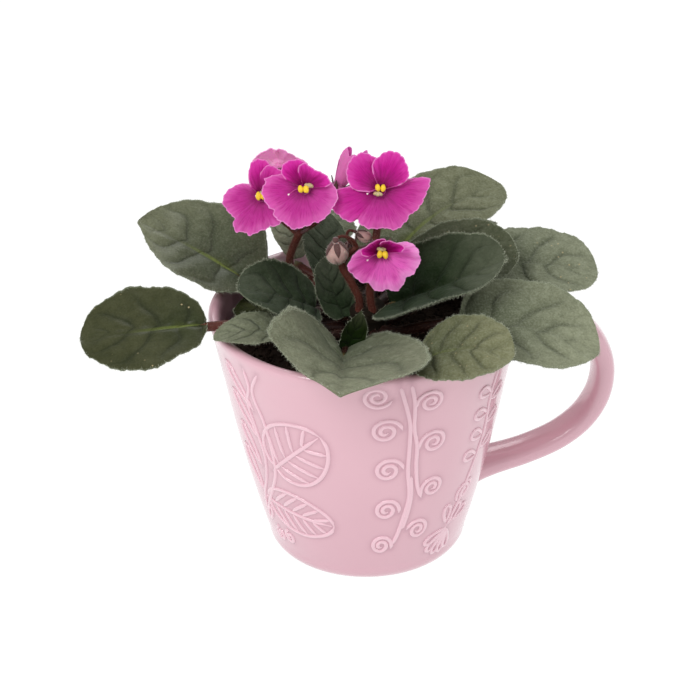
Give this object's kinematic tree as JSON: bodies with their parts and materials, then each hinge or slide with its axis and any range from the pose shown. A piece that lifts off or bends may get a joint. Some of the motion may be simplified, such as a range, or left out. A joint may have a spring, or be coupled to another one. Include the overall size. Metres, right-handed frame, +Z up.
{
  "type": "potted african violet",
  "caption": "African violet in bloom, its rosette of rounded hairy leaves and clustered flowers growing in a handled ceramic mug.",
  "frame": {"origin": "middle of the mug's flat foot", "axes": "+Z up, +X from the mug's axis out through the handle, -Y towards the side that the blooms face"},
  "size_m": [0.1816, 0.1537, 0.1438],
  "materials": {
    "glaze": "glossy pale pink glaze over raised line relief",
    "soil": "dark moist peat",
    "crown": "matte fleshy stem",
    "leaf": "hairy satin leaf with sunken veins",
    "stalk": "hairy maroon stem",
    "petal": "soft magenta petal, paler at the edge",
    "anther": "matte yellow pollen sacs",
    "bud": "downy dusty pink bud"
  },
  "bodies": {
    "root": {"mug": "glaze", "potting_soil": "soil", "crown": "crown", "leaf_far_left": "leaf", "leaf_upper_left": "leaf", "leaf_inner_left": "leaf", "leaf_left_rim": "leaf", "leaf_front": "leaf", "leaf_front_right": "leaf", "leaf_inner_right": "leaf", "leaf_back_right": "leaf", "leaf_upper_right": "leaf", "leaf_far_right": "leaf", "leaf_lower_right": "leaf", "leaf_upright": "leaf", "leaf_behind_stalk": "leaf", "leaf_back_left": "leaf", "leaf_young_front": "leaf", "leaf_young_left": "leaf", "leaf_young_back": "leaf", "leaf_rear": "leaf", "leaf_rear_right": "leaf", "leaf_rear_left": "leaf", "flower_stalk_1": "stalk", "flower_stalk_2": "stalk", "flower_stalk_3": "stalk", "bloom_1_petals": "petal", "bloom_1_stamens": "anther", "bloom_2_petals": "petal", "bloom_2_stamens": "anther", "bloom_3_petals": "petal", "bloom_3_stamens": "anther", "bloom_4_petals": "petal", "bloom_4_stamens": "anther", "bloom_5_petals": "petal", "bloom_5_stamens": "anther", "bloom_6_petals": "petal", "bloom_6_stamens": "anther", "bud_1": "bud", "bud_2": "bud", "bud_3": "bud"}
  },
  "joints": []
}
